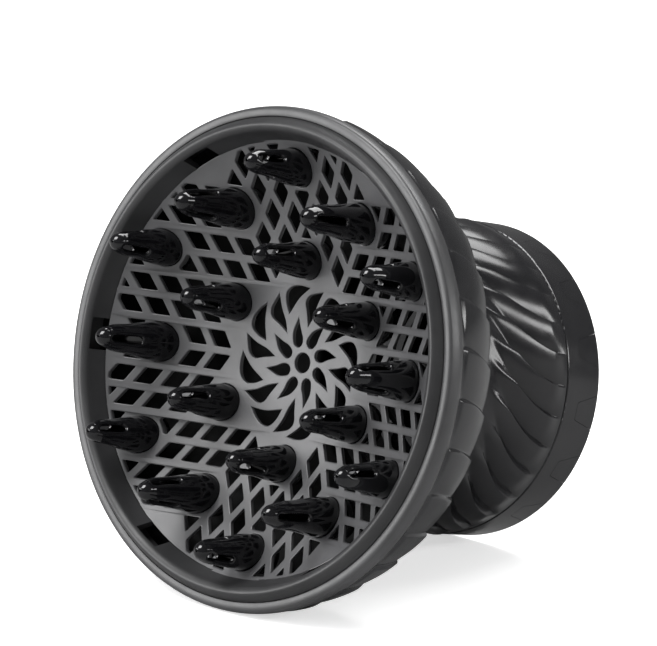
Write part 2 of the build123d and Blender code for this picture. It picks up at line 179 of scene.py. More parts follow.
def arc_through(a, b, c, steps=10):
    """Points on the circular arc from a through b to c."""
    d = 2 * (a[0] * (b[1] - c[1]) + b[0] * (c[1] - a[1]) + c[0] * (a[1] - b[1]))
    squares = [p[0] ** 2 + p[1] ** 2 for p in (a, b, c)]
    x = (squares[0] * (b[1] - c[1]) + squares[1] * (c[1] - a[1]) + squares[2] * (a[1] - b[1])) / d
    y = (squares[0] * (c[0] - b[0]) + squares[1] * (a[0] - c[0]) + squares[2] * (b[0] - a[0])) / d
    centre = Vector((x, y))
    first, last = Vector(a) - centre, Vector(c) - centre
    turn = first.angle_signed(last)
    path = []
    for n in range(steps + 1):
        angle = -turn * n / steps
        s, co = sin(angle), cos(angle)
        path.append((x + co * first.x - s * first.y, y + s * first.x + co * first.y))
    return path


def circle(x, y, radius, count):
    """Points of a circle."""
    turns = [2 * pi * n / count for n in range(count)]
    return [(x + radius * cos(turn), y + radius * sin(turn)) for turn in turns]


def rounded(polygon):
    """The polygon with its corners rounded."""
    path = []
    count = len(polygon)
    for i, corner in enumerate(polygon):
        here = Vector(corner)
        before, after = Vector(polygon[i - 1]) - here, Vector(polygon[(i + 1) % count]) - here
        reach = min(corner_r, 0.4 * before.length, 0.4 * after.length)
        first, last = here + before.normalized() * reach, here + after.normalized() * reach
        for n in range(corner_steps + 1):
            t = n / corner_steps
            path.append(tuple(first * (1 - t) ** 2 + here * 2 * t * (1 - t) + last * t**2))
    return path


def finger_places():
    """Every finger: node name, x, y, direction, foot radius, height, distance from the axis."""
    for name, (distance, first, foot, height) in fingers.items():
        for k in range(sectors):
            angle = first + k * sector_angle
            yield f"{name}_{k + 1}", *polar(distance, angle), angle, foot, height, distance


def clipped(polygon, normal, limit):
    """The part of a convex polygon where point . normal >= limit."""
    kept = []
    for a, b in zip(polygon, polygon[1:] + polygon[:1]):
        da = a[0] * normal[0] + a[1] * normal[1] - limit
        db = b[0] * normal[0] + b[1] * normal[1] - limit
        if da >= 0:
            kept.append(a)
        if da * db < 0:
            t = da / (da - db)
            kept.append((a[0] + t * (b[0] - a[0]), a[1] + t * (b[1] - a[1])))
    return kept


def area(polygon):
    """Area of a polygon."""
    pairs = zip(polygon, polygon[1:] + polygon[:1])
    return abs(sum(a[0] * b[1] - b[0] * a[1] for a, b in pairs)) / 2


def trimmed(outline, centre):
    """An opening's outline cut back from bosses, vent and wall, or None if too little is left."""
    reach = hypot(*centre)
    if reach > lattice_outer_r + pitch or reach < lattice_inner_r:
        return None
    out = (centre[0] / reach, centre[1] / reach)
    outline = clipped(outline, out, lattice_inner_r)
    outline = clipped(outline, (-out[0], -out[1]), -lattice_outer_r)
    for _, x, y, _, foot, _, _ in finger_places():
        gap = (centre[0] - x, centre[1] - y)
        away = hypot(*gap)
        if away < 2 * pitch:
            normal = (gap[0] / away, gap[1] / away)
            limit = x * normal[0] + y * normal[1] + foot + boss_wall + boss_margin
            outline = clipped(outline, normal, limit)
    return outline if len(outline) > 2 and area(outline) > smallest_opening else None


def lattice_openings():
    """Rhombic openings of all sectors, trimmed at the finger bosses, the vent and the side wall."""
    count = int(lattice_outer_r / pitch) + 1
    corners = ((1, 1), (-1, 1), (-1, -1), (1, -1))
    for sector in range(sectors):
        first = polar(1, sector * sector_angle)
        second = polar(1, (sector + 1) * sector_angle)
        for i in range(count):
            for j in range(count):
                u, v = (i + 0.5) * pitch, (j + 0.5) * pitch
                rhombus = []
                for a, b in corners:
                    p, q = u + a * cell / 2, v + b * cell / 2
                    rhombus.append((p * first[0] + q * second[0], p * first[1] + q * second[1]))
                centre = (u * first[0] + v * second[0], u * first[1] + v * second[1])
                beside_window = max(i, j) > last_full_row and min(i, j) == 0
                outline = trimmed(rhombus, centre)
                if outline and not beside_window:
                    yield outline


def vent_outlines():
    """The round hole and the swirling blades at the middle of the grille."""
    yield circle(0, 0, vent_hole_r, 40)
    for k in range(vent_blades):
        turn = k * 360 / vent_blades
        for blade in (inner_blade, middle_blade, outer_blade):
            outline = []
            for edge in blade:
                corners = [polar(radius, angle + turn) for radius, angle in edge]
                outline += smooth_path(corners, steps=5)[:-1]
            yield outline


# ---- meshes --------------------------------------------------------------------------------------
def make_mesh(name, points, faces, crease=35.0, zones=()):
    """A welded, smooth-shaded mesh in metres, sharp where faces meet at more than the crease angle.

    Faces from the index zones[0] on take the mesh's second material, from zones[1] on its third.
    """
    work = bmesh.new()
    corners = [work.verts.new((x * MM, y * MM, z * MM)) for x, y, z in points]
    for number, face in enumerate(faces):
        made = work.faces.new([corners[i] for i in face])
        made.material_index = sum(number >= start for start in zones)
    bmesh.ops.remove_doubles(work, verts=work.verts, dist=0.002 * MM)
    bmesh.ops.dissolve_degenerate(work, edges=work.edges, dist=0.001 * MM)
    bmesh.ops.recalc_face_normals(work, faces=work.faces)
    mesh = bpy.data.meshes.new(name)
    work.to_mesh(mesh)
    work.free()
    mesh.shade_smooth()
    mesh.set_sharp_from_angle(angle=radians(crease))
    return mesh


def make_piece(name, mesh, material, body, slot, *stands_for, place=None):
    """An object of the visual model that rides on a body and stands for CAD nodes."""
    piece = bpy.data.objects.new(name, mesh)
    bpy.context.scene.collection.objects.link(piece)
    if not mesh.materials:
        mesh.materials.append(material)
    if place:
        piece.matrix_world = place
    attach(piece, body)
    if stands_for:
        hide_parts(*stands_for)
    return piece


def grid_faces(rows, columns):
    """Quads of a grid that closes both ways, its points listed row by row."""
    faces = []
    for i in range(rows):
        for j in range(columns):
            a = i * columns + j
            b = i * columns + (j + 1) % columns
            c = ((i + 1) % rows) * columns + (j + 1) % columns
            d = ((i + 1) % rows) * columns + j
            faces.append((a, b, c, d))
    return faces


def lathe(profile, count, centre=(0.0, 0.0)):
    """Points and faces of a closed profile of (radius, height) turned about an upright axis."""
    points = []
    for radius, height in profile:
        for n in range(count):
            x, y = polar(radius, 360 * n / count)
            points.append((centre[0] + x, centre[1] + y, height))
    return points, grid_faces(len(profile), count)


# ---- shell ---------------------------------------------------------------------------------------
def seam_angle(height):
    """Angle of a pleat's seam at a height: the bell's swirl, a smooth passage, then the flange's."""
    climb = min(max((height - foot_z) / (bell_top_z - foot_z), 0), 1)
    bell = bell_seam + bell_swirl * climb**bell_curl
    passage = 2 * pleat_angle + flange_seam - flange_swirl - bell_seam - bell_swirl
    middle = passage * ease((height - bell_top_z) / (flange_back_z - bell_top_z))
    rise = min(max((height - flange_back_z) / (flange_front_z - flange_back_z), 0), 1)
    return bell + middle + flange_swirl * sin(rise * pi / 2)


def shingle(u):
    """Height across a pleat: up from its valley to a crest, then down the step at the seam."""
    if u < pleat_crest:
        return 1 - (1 - u / pleat_crest) ** 1.7
    return 0.5 + 0.5 * cos(pi * (u - pleat_crest) / (1 - pleat_crest))


def pleat_height(u, radius, height):
    """How far the pleats stand proud of the plain shell at a place."""
    relief = shingle(u) - pleat_sunk
    if height < bell_top_z + 1:
        tip = bell_top_z - petal_arch * (2 * u - 0.95) ** 2
        rise = ease((height - foot_z) / foot_fade)
        return bell_depth * relief * rise * ease((tip - height) / petal_fade)
    if height < flange_back_z + 0.01:
        rise = ease((radius - flange_start_r) / (flange_back_r - flange_start_r))
        return flange_depth * relief * rise
    return flange_depth * relief * ease((flange_front_z + 0.2 - height) / 1.6)


def shell_outside():
    """Outer outline of the shell, from its foot to the parting line, as (radius, height)."""
    bell = smooth_path(
        [(foot_r, foot_z), (foot_r - 1.1, foot_z + 11), (neck_r + 2.9, neck_z - 17), (neck_r, neck_z)],
        start=(0, 1), end=(0, 1), steps=18,
    )
    flare = smooth_path(
        [(neck_r, neck_z), (neck_r + 4.4, neck_z + 13.5), (flange_back_r - 12, flange_back_z - 3.3),
         (flange_back_r - 1.2, flange_back_z - 0.3)],
        start=(0, 1), end=(0.99, 0.12), steps=9,
    )
    corner = [(flange_back_r - 0.35, flange_back_z - 0.05), (flange_back_r + 0.12, flange_back_z + 0.35)]
    flange = arc_through(
        (flange_back_r + 0.4, flange_back_z + 1.2), (flange_back_r + 4.6, flange_back_z + 12.2),
        (flange_front_r, flange_front_z), steps=26,
    )
    rim = arc_through(
        (flange_front_r, flange_front_z), (rim_r, rim_z), (rim_r - 0.6, parting_z - 0.3), steps=12)
    lip = [
        (rim_r - 1.4, parting_z + 0.1),
        (parting_r + 0.1, parting_z),
        (parting_r - 0.2, parting_z - 0.15),
    ]
    return bell[:-1] + flare + corner + flange[:-1] + rim + lip


def shell_inside():
    """Inner outline of the shell, from the parting line to the spigot, and back out to the foot."""
    flange = arc_through(
        (flange_front_r - wall - 0.3, flange_front_z),
        (flange_back_r + 4.6 - wall, flange_back_z + 12.2),
        (flange_back_r - wall, flange_back_z + wall), steps=10,
    )
    flare = smooth_path(
        [(flange_back_r - wall, flange_back_z + wall), (flange_back_r - 12, flange_back_z - 3.3 + wall),
         (neck_r + 4.4 - 1.6, neck_z + 14.8), (neck_r - wall, neck_z)],
        start=(-0.99, -0.1), end=(0, -1), steps=7,
    )
    bell = smooth_path(
        [(neck_r - wall, neck_z), (neck_r + 2.9 - wall, neck_z - 17), (foot_r - 1.1 - wall, foot_z + 11),
         (foot_r - wall - 0.2, foot_z + 1.8)],
        start=(0, -1), end=(0, -1), steps=6,
    )
    spigot = [
        (spigot_r - spigot_wall, foot_z + 1.8), (spigot_r - spigot_wall, spigot_z), (spigot_r, spigot_z),
        (spigot_r, foot_z), (foot_r - 0.3, foot_z),
    ]
    return flange[:-1] + flare[:-1] + bell + spigot


def shell_mesh():
    """The pleated shell as one closed skin whose grid lines follow the seams of the pleats."""
    across = [(k + u, u) for k in range(pleats) for u in pleat_shares]
    outside, inside = shell_outside(), shell_inside()
    profile = outside + inside
    points = []
    for i, (radius, height) in enumerate(profile):
        (r0, z0), (r1, z1) = profile[max(i - 1, 0)], profile[min(i + 1, len(profile) - 1)]
        length = hypot(r1 - r0, z1 - z0)
        normal = ((z1 - z0) / length, (r0 - r1) / length)
        for place, u in across:
            lift = pleat_height(u, radius, height) if i < len(outside) else 0.0
            x, y = polar(radius + lift * normal[0], seam_angle(height) + place * pleat_angle)
            points.append((x, y, height + lift * normal[1]))
    faces = grid_faces(len(profile), len(across))
    band_row = next(i for i, p in enumerate(outside) if p[1] >= flange_front_z)
    # rows from here on are the inner faces, which take the darker lining black, painted shade
    lining_row = len(outside) - 1
    zones = (band_row * len(across), lining_row * len(across))
    return make_mesh("shell_skin", points, faces, 50, zones)


# ---- grille --------------------------------------------------------------------------------------
def plate_edge():
    """The plate's outer edge: sunk in the side wall, but free at the snap windows."""
    half_window = degrees(window_w / 2 / dish_edge_r)
    free_r, sunk_r = dish_edge_r - 0.1, dish_edge_r + 1.0
    outline = []
    for k in range(sectors):
        first, last = k * sector_angle + half_window, (k + 1) * sector_angle - half_window
        outline.append(polar(free_r, first))
        outline += [polar(sunk_r, first + (last - first) * n / 36) for n in range(37)]
        outline.append(polar(free_r, last))
        outline += [polar(free_r, last + 2 * half_window * n / 6) for n in range(1, 6)]
    return outline


def plate_mesh():
    """The concave plate with chamfered openings, cut flat and then bent onto the dish's sphere."""
    curve = bpy.data.curves.new("plate_outline", "CURVE")
    curve.dimensions = "2D"
    curve.fill_mode = "BOTH"
    curve.extrude = sheet_thickness / 2 - edge_chamfer
    curve.bevel_depth = edge_chamfer
    curve.bevel_resolution = 1
    curve.offset = -edge_chamfer
    outlines = [plate_edge()]
    outlines += [circle(x, y, foot + foot_gap, 40) for _, x, y, _, foot, _, _ in finger_places()]
    outlines += vent_outlines()
    outlines += [rounded(outline) for outline in lattice_openings()]
    for outline in outlines:
        spline = curve.splines.new("POLY")
        spline.points.add(len(outline) - 1)
        for point, (x, y) in zip(spline.points, outline):
            point.co = (x, y, 0, 1)
        spline.use_cyclic_u = True
    sheet = bpy.data.objects.new("plate_outline", curve)
    bpy.context.scene.collection.objects.link(sheet)
    bpy.context.view_layer.update()
    flat = bpy.data.meshes.new_from_object(sheet)
    points = []
    for vertex in flat.vertices:
        x, y, z = vertex.co
        points.append((x, y, dish_z(hypot(x, y), sheet_thickness / 2 - z)))
    mesh = make_mesh("grille_plate", points, [tuple(face.vertices) for face in flat.polygons], 30)
    bpy.data.objects.remove(sheet)
    # the broad faces take the sphere's own normals, so that they reflect as one smooth surface
    centre = Vector((0, 0, (dish_centre_z + dish_r) * MM))
    normals = [Vector((0, 0, 0))] * len(mesh.loops)
    for face in mesh.polygons:
        depths = [(centre - mesh.vertices[i].co).length / MM - dish_r for i in face.vertices]
        for side, level in ((1, 0.0), (-1, sheet_thickness)):
            if max(abs(depth - level) for depth in depths) < 0.02:
                for i in face.loop_indices:
                    at = mesh.vertices[mesh.loops[i].vertex_index].co
                    normals[i] = (centre - at).normalized() * side
    mesh.normals_split_custom_set(normals)
    return mesh


def rim_mesh():
    """The bowl's side wall, bead and skirt, with the six snap windows cut through the wall."""
    edge_z = dish_z(dish_edge_r)
    wall_line = [
        (dish_edge_r - 0.25, edge_z - 0.1),
        (dish_edge_r + 0.15, edge_z + 0.5),
        (bead_inner_r - 0.45, bead_inner_z - 1.2),
    ]
    bead = smooth_path(
        [(bead_inner_r - 0.05, bead_inner_z - 0.1), (bead_top_r, bead_top_z),
         (skirt_r - 0.5, parting_z + 0.5), (skirt_r, parting_z - 0.4)],
        start=(0.35, 0.94), end=(0.0, -1), steps=9,
    )
    back = [
        (skirt_r, skirt_z),
        (skirt_r - skirt_wall, skirt_z),
        (skirt_r - skirt_wall, parting_z - wall),
        (bead_inner_r + plate, bead_inner_z - wall),
        (dish_edge_r + plate, dish_z(dish_edge_r + plate, plate)),
        (dish_edge_r - 0.25, dish_z(dish_edge_r - 0.25, plate)),
    ]
    mesh = make_mesh("grille_rim", *lathe(wall_line + bead + back, 360), 40)
    body = bpy.data.objects.new("rim_blank", mesh)
    boxes, box_faces = [], []
    for k in range(sectors):
        out = Vector((*polar(1, k * sector_angle), 0))
        side = Vector((*polar(1, k * sector_angle + 90), 0))
        for radius in (dish_edge_r - window_inside, dish_edge_r + window_outside):
            for across in (-window_w / 2, window_w / 2):
                for height in (window_z - window_below, window_top_z):
                    boxes.append(tuple(out * radius + side * across + Vector((0, 0, height))))
        n = 8 * k
        box_faces += [(n, n + 1, n + 3, n + 2), (n + 4, n + 6, n + 7, n + 5), (n, n + 4, n + 5, n + 1)]
        box_faces += [(n + 2, n + 3, n + 7, n + 6), (n, n + 2, n + 6, n + 4)]
        box_faces.append((n + 1, n + 5, n + 7, n + 3))
    cutter = bpy.data.objects.new("rim_windows", make_mesh("rim_windows", boxes, box_faces))
    for thing in (body, cutter):
        bpy.context.scene.collection.objects.link(thing)
    cut = body.modifiers.new("windows", "BOOLEAN")
    cut.operation = "DIFFERENCE"
    cut.solver = "EXACT"
    cut.object = cutter
    bpy.context.view_layer.update()
    opened = bpy.data.meshes.new_from_object(body.evaluated_get(bpy.context.evaluated_depsgraph_get()))
    for thing in (body, cutter):
        bpy.data.objects.remove(thing)
    opened.name = "grille_rim"
    opened.shade_smooth()
    opened.set_sharp_from_angle(angle=radians(40))
    return opened


def boss_mesh():
    """The bosses behind the plate that hold the fingers' feet."""
    points, faces = [], []
    for _, x, y, _, foot, _, distance in finger_places():
        outer = foot + boss_wall
        low = dish_z(distance - outer) - plate - 1
        high = dish_z(distance - outer) - plate / 2
        inner = foot + foot_gap
        profile = [(inner, low), (outer - 0.2, low), (outer, low + 0.2), (outer, high), (inner, high)]
        tube, tube_faces = lathe(profile, 48, (x, y))
        faces += [tuple(i + len(points) for i in face) for face in tube_faces]
        points += tube
    return make_mesh("grille_bosses", points, faces)


# ---- fingers -------------------------------------------------------------------------------------
def finger_outline(foot, height):
    """Outer outline of a finger above its foot, as (radius, height), from the foot to the tip hole."""
    side = smooth_path(
        [(foot, 1), (0.77 * foot, 0.52 * height), (0.55 * foot, 0.87 * height),
         (0.33 * foot, 0.965 * height), (0.06, height)],
        start=(0, 1), end=(-1, 0), steps=32,
    )
    return [p for p in side if p[0] > tip_hole_r] + [(tip_hole_r, height - 0.03)]


def finger_rows(slot_mid, slot_half):
    """Heights of a finger's grid rows up to its dome, closer together at the slots' ends."""
    straight = slot_half - slot_w / 2
    low, high = slot_mid - slot_half, slot_mid + slot_half
    quarter = [radians(a) for a in (0, 18, 36, 54, 72, 90)]
    rows = [1 + n * (low - 2.2) / 7 for n in range(7)]
    rows += [low - lead for lead in (1.4, 0.9, 0.5, 0.25)]
    rows += [slot_mid - straight - slot_w / 2 * cos(a) for a in quarter]
    rows += [slot_mid - straight + 2 * straight * n / 8 for n in range(1, 8)]
    rows += [slot_mid + straight + slot_w / 2 * sin(a) for a in quarter]
    rows += [high + lead for lead in (0.25, 0.5, 0.9)]
    return rows


def finger_mesh(kind):
    """A hollow finger with three long slots whose lips are rounded."""
    distance, _, foot, height = fingers[kind]
    boss = foot + boss_wall
    seat = dish_z(distance - boss) - plate - 1 - dish_z(distance)
    side = finger_outline(foot, height)
    slot_half, slot_mid = slot_half_share * height, slot_mid_share * height
    straight = slot_half - slot_w / 2
    places = []
    for z in finger_rows(slot_mid, slot_half):
        k = next(n for n, p in enumerate(side) if p[1] >= z - 1e-9)
        (r0, z0), (r1, z1) = side[max(k - 1, 0)], side[max(k, 1)]
        t = (z - z0) / (z1 - z0)
        places.append((r0 + t * (r1 - r0), z))
    dome = [p for p in side if p[1] > slot_mid + slot_half + 1.2]
    places += dome[:-1:3] + [dome[-1]]
    # below the rows: the foot, its flange and its rear edge
    below = [(boss, seat - foot_flange), (boss, seat), (foot + 0.02, seat), (foot, -0.6)]
    shares = [0, 0.03, 0.07, 0.13, 0.22, 0.36, 0.55, 0.77, 1.0]
    half_turn = 180 / slots
    profile = below + places
    outer, inner, widths = [], [], []
    for i, (radius, z) in enumerate(profile):
        r0, z0 = profile[max(i - 1, len(below))]
        r1, z1 = profile[min(i + 1, len(profile) - 1)]
        length = hypot(r1 - r0, z1 - z0) or 1.0
        normal = ((z1 - z0) / length, (r0 - r1) / length) if i > len(below) else (1.0, 0.0)
        beyond = abs(z - slot_mid) - straight
        half = slot_w / 2
        if beyond > 0:
            half = sqrt(max(half**2 - beyond**2, 0.0))
        slotted = i >= len(below) and abs(z - slot_mid) <= slot_half + 1e-6
        edge = degrees(asin(min(half / radius, 0.95))) if slotted else 0.0
        widths.append(edge)
        outer_row, inner_row = [], []
        for slot in range(slots):
            facing = slot_facing + slot * 2 * half_turn
            for sign, order in ((-1, reversed(shares)), (1, shares)):
                for share in order:
                    angle = edge + (half_turn - edge) * share
                    flat = radius * sin(radians(min(angle, 90)))
                    away = hypot(flat, max(beyond, 0.0)) - slot_w / 2
                    near = max(1 - max(away, 0.0) / slot_lip, 0.0) if i > len(below) else 0.0
                    sink = slot_lip * (1 - sqrt(max(1 - near**2, 0.0)))
                    at = facing + sign * angle
                    outer_row.append((*polar(radius - sink * normal[0], at), z - sink * normal[1]))
                    depth = finger_wall if i > 1 else finger_wall + boss_wall
                    inside_r = max(radius - depth * normal[0], 0.4)
                    inner_row.append((*polar(inside_r, at), z - depth * normal[1]))
        outer.append(outer_row)
        inner.append(inner_row)
    columns = len(outer[0])
    points = [p for row in outer + inner for p in row]
    offset = len(outer) * columns
    span = len(shares)
    faces = []
    for i in range(len(outer) - 1):
        for j in range(columns):
            after = (j + 1) % columns
            row, above = i * columns, (i + 1) * columns
            a, b, c, d = row + j, row + after, above + after, above + j
            across_slot = j % (2 * span) == span - 1
            if not across_slot:
                faces.append((a, b, c, d))
                faces.append((offset + d, offset + c, offset + b, offset + a))
            elif widths[i] or widths[i + 1]:
                faces.append((d, a, offset + a, offset + d))
                faces.append((b, c, offset + c, offset + b))
    last = (len(outer) - 1) * columns
    for j in range(columns):
        after = (j + 1) % columns
        faces.append((after, j, offset + j, offset + after))
        faces.append((last + j, last + after, offset + last + after, offset + last + j))
    faces = [face for face in faces if len({points[i] for i in face}) > 2]
    return make_mesh(kind, points, faces, 55)


# ---- materials -----------------------------------------------------------------------------------
def new_material(name):
    """A material with its node tree, its Principled shader and a shortcut for adding nodes."""
    material = bpy.data.materials.new(name)
    material.use_nodes = True
    tree = material.node_tree
    shader = tree.nodes["Principled BSDF"]
    return material, tree, shader


def noise(tree, scale, detail=3.0, roughness=0.55):
    """A noise texture in the object's own coordinates, metres."""
    place = tree.nodes.new("ShaderNodeTexCoord")
    texture = tree.nodes.new("ShaderNodeTexNoise")
    texture.inputs["Scale"].default_value = scale
    texture.inputs["Detail"].default_value = detail
    texture.inputs["Roughness"].default_value = roughness
    tree.links.new(place.outputs["Object"], texture.inputs["Vector"])
    return texture.outputs["Fac"]


def ranged(tree, value, low, high):
    """The value, around 0.3 to 0.7, stretched to run from low to high."""
    node = tree.nodes.new("ShaderNodeMapRange")
    node.inputs["From Min"].default_value = 0.3
    node.inputs["From Max"].default_value = 0.7
    node.inputs["To Min"].default_value = low
    node.inputs["To Max"].default_value = high
    tree.links.new(value, node.inputs["Value"])
    return node.outputs["Result"]


def shaded(tree, value, dark, light):
    """A colour that varies between two with the value."""
    ramp = tree.nodes.new("ShaderNodeValToRGB")
    ramp.color_ramp.elements[0].position = 0.32
    ramp.color_ramp.elements[0].color = (*dark, 1)
    ramp.color_ramp.elements[1].position = 0.68
    ramp.color_ramp.elements[1].color = (*light, 1)
    tree.links.new(value, ramp.inputs["Fac"])
    return ramp.outputs["Color"]


def bumped(tree, shader, value, strength, distance, below=None):
    """A bump on the shader, distance in metres, over another bump if one is given."""
    node = tree.nodes.new("ShaderNodeBump")
    node.inputs["Strength"].default_value = strength
    node.inputs["Distance"].default_value = distance
    tree.links.new(value, node.inputs["Height"])
    if below:
        tree.links.new(below.outputs["Normal"], node.inputs["Normal"])
    tree.links.new(node.outputs["Normal"], shader.inputs["Normal"])
    return node


def moulded_plastic(name, colours, polish, grain, sink, specular=0.5):
    """Moulded plastic: mottled colour and polish, fine grain and the slow waviness of a moulding.

    colours are the darkest and lightest, polish the least and greatest roughness, grain its noise scale
    and its depth in metres, and sink the depth of the waviness in metres.
    """
    material, tree, shader = new_material(name)
    shader.inputs["Specular IOR Level"].default_value = specular
    mottle = noise(tree, 38.0, 4.0)
    tree.links.new(shaded(tree, mottle, *colours), shader.inputs["Base Color"])
    wear = noise(tree, 160.0, 5.0, 0.6)
    tree.links.new(ranged(tree, wear, *polish), shader.inputs["Roughness"])
    wave = bumped(tree, shader, noise(tree, 55.0, 1.0), 1.0, sink)
    grain_scale, grain_depth = grain
    bumped(tree, shader, noise(tree, grain_scale, 2.0), 1.0, grain_depth, wave)
    return material


def rubber(name, dark, light):
    """Matt silicone rubber with a fine bloom."""
    material, tree, shader = new_material(name)
    shader.inputs["Specular IOR Level"].default_value = 0.35
    shader.inputs["Sheen Weight"].default_value = 0.15
    tree.links.new(shaded(tree, noise(tree, 260.0, 5.0), dark, light), shader.inputs["Base Color"])
    tree.links.new(ranged(tree, noise(tree, 700.0, 3.0), 0.55, 0.78), shader.inputs["Roughness"])
    bumped(tree, shader, noise(tree, 2600.0, 2.0), 0.6, 0.00003)
    return material


def turned_steel(name):
    """Bright steel with fine turning marks."""
    material, tree, shader = new_material(name)
    shader.inputs["Metallic"].default_value = 1.0
    shader.inputs["Anisotropic"].default_value = 0.4
    colour = shaded(tree, noise(tree, 900.0, 4.0), (0.5, 0.5, 0.52), (0.66, 0.66, 0.67))
    tree.links.new(colour, shader.inputs["Base Color"])
    tree.links.new(ranged(tree, noise(tree, 1500.0, 4.0), 0.22, 0.4), shader.inputs["Roughness"])
    bumped(tree, shader, noise(tree, 3000.0, 2.0), 0.4, 0.00002)
    return material


def make_materials():
    """The record's slots, and three more for zones of the shell and the bowl: band, lining and rim."""
    black = ((0.0075, 0.0075, 0.0085), (0.0135, 0.0135, 0.0145))
    jet = ((0.003, 0.003, 0.0035), (0.006, 0.006, 0.007))
    # darker than the shell's black: painted shade inside the shell; its higher roughness is the inner face's
    # own matt finish
    lining_painted_shade = ((0.003, 0.003, 0.0032), (0.006, 0.006, 0.0065))
    band = ((0.03, 0.03, 0.031), (0.042, 0.042, 0.044))
    dark_grey = ((0.05, 0.05, 0.052), (0.068, 0.068, 0.071))
    # darker than the grille's grey: painted shade on the bowl's side wall and bead
    rim = ((0.02, 0.02, 0.021), (0.03, 0.03, 0.031))
    nylon = ((0.02, 0.02, 0.022), (0.032, 0.032, 0.035))
    return {
        "gloss_shell": moulded_plastic("gloss_shell", black, (0.16, 0.24), (900.0, 0.000002), 0.00003),
        "gloss_ring": moulded_plastic("gloss_ring", black, (0.14, 0.2), (900.0, 0.000002), 0.00002),
        "gloss_prong": moulded_plastic("gloss_prong", jet, (0.05, 0.1), (700.0, 0.000002), 0.00002),
        "satin_band": moulded_plastic("satin_band", band, (0.34, 0.44), (2400.0, 0.00001), 0.00001),
        "satin_grille": moulded_plastic(
            "satin_grille", dark_grey, (0.34, 0.44), (2400.0, 0.000012), 0.00001),
        # the bowl's rim: satin, with a darker black that is painted shade
        "satin_rim_painted_shade": moulded_plastic("satin_rim_painted_shade", rim, (0.36, 0.46), (2400.0, 0.000012), 0.00001, 0.35),
        # the shell's inner faces: matt, with a darker black that is painted shade
        "matt_lining_painted_shade": moulded_plastic(
            "matt_lining_painted_shade", lining_painted_shade, (0.55, 0.7), (1800.0, 0.00001), 0.00001, 0.2),
        "inner_plastic": moulded_plastic(
            "inner_plastic", nylon, (0.4, 0.55), (1800.0, 0.00001), 0.00001),
        "pad_rubber": rubber("pad_rubber", (0.035, 0.035, 0.037), (0.055, 0.055, 0.058)),
        "seal_rubber": rubber("seal_rubber", (0.02, 0.02, 0.021), (0.032, 0.032, 0.034)),
        "steel": turned_steel("steel"),
    }


# ---- the object ----------------------------------------------------------------------------------
def finish_node(name, slot, bevel=0.0):
    """Gives a CAD node that stays visible its material and, if asked, softened edges."""
    node = nodes[name]
    node.data.materials.clear()
    node.data.materials.append(materials[slot])
    if bevel:
        softener = node.modifiers.new("soft_edges", "BEVEL")
        softener.width = bevel * MM
        softener.segments = 2
        softener.limit_method = "ANGLE"
        softener.angle_limit = radians(40)
        softener.harden_normals = True


def build_object():
    """Makes every visible piece and finishes the CAD nodes that stay."""
    shell = make_piece(
        "shell_skin", shell_mesh(), materials["gloss_shell"], "housing", "gloss_shell", "outer_shell")
    shell.data.materials.append(materials["satin_band"])
    shell.data.materials.append(materials["matt_lining_painted_shade"])
    satin = materials["satin_grille"]
    make_piece("grille_plate", plate_mesh(), satin, "housing", "satin_grille", "grille_bowl")
    make_piece("grille_rim", rim_mesh(), materials["satin_rim_painted_shade"], "housing", "satin_grille")
    make_piece("grille_bosses", boss_mesh(), satin, "housing", "satin_grille")
    meshes = {kind: finger_mesh(kind) for kind in fingers}
    for name, x, y, angle, _, _, distance in finger_places():
        mesh = meshes[name.rsplit("_", 1)[0]]
        foot_at = Matrix.Translation((x * MM, y * MM, dish_z(distance) * MM))
        make_piece(
            name.replace("prong", "finger"), mesh, materials["gloss_prong"],
            "housing", "gloss_prong", name,
            place=foot_at @ Matrix.Rotation(radians(angle), 4, "Z"),
        )
    finish_node("lock_ring", "gloss_ring")
    finish_node("rear_cap", "gloss_ring", seam_bevel)
    finish_node("iris_deck", "inner_plastic")
    finish_node("pivot_pins", "steel")
    finish_node("deck_screws", "steel")
    finish_node("ring_seal", "seal_rubber")
    for name in sorted(nodes):
        if name.startswith("jaw_"):
            finish_node(name, "pad_rubber" if name.startswith("jaw_pad") else "inner_plastic")


# ---- camera, floor and light ---------------------------------------------------------------------
camera_at = Vector((0.8419, 0.0426, 1.0569))
camera_right = Vector((0.7495, 0.1282, -0.6495))
camera_up = Vector((-0.1115, 0.9915, 0.0670))
camera_back = camera_right.cross(camera_up).normalized()
camera_lens = 213.9
centre = Vector((0, 0, 0.062))
# the object lies on its side, on a floor laid against the rim and the ring; the flange's pleats stand
# 1.3 mm past it
rest_side = Vector((*polar(1, 87.5), 0))
ring_radius = 54.2
floor_tilt = Vector((rim_r - ring_radius, rim_z + 0.5))
floor_below = 0.3
floor_reach = 5.0        # metres each way
floor_glow = 0.56        # what the camera sees on top of the floor's own light
floor_reflected = 0.27   # how bright the gloss sees the floor
# a black card under the socket: painted shade for the dark inside of the shell seen through the lattice
shade_card_r, shade_card_z = 50.0, -0.3


def make_camera():
    """The camera, at the photograph's viewing angle."""
    data = bpy.data.cameras.new("camera")
    data.lens = camera_lens
    data.sensor_width = 36.0
    data.clip_start, data.clip_end = 0.05, 30.0
    camera = bpy.data.objects.new("camera", data)
    rotation = Matrix((camera_right, camera_back.cross(camera_right), camera_back)).transposed()
    camera.matrix_world = Matrix.Translation(camera_at) @ rotation.to_4x4()
    bpy.context.scene.collection.objects.link(camera)
    bpy.context.scene.camera = camera


def floor_normal():
    """Upward direction of the floor that the rim and the ring rest on."""
    along = floor_tilt.normalized()
    return (rest_side * along.y + Vector((0, 0, 1)) * along.x).normalized()


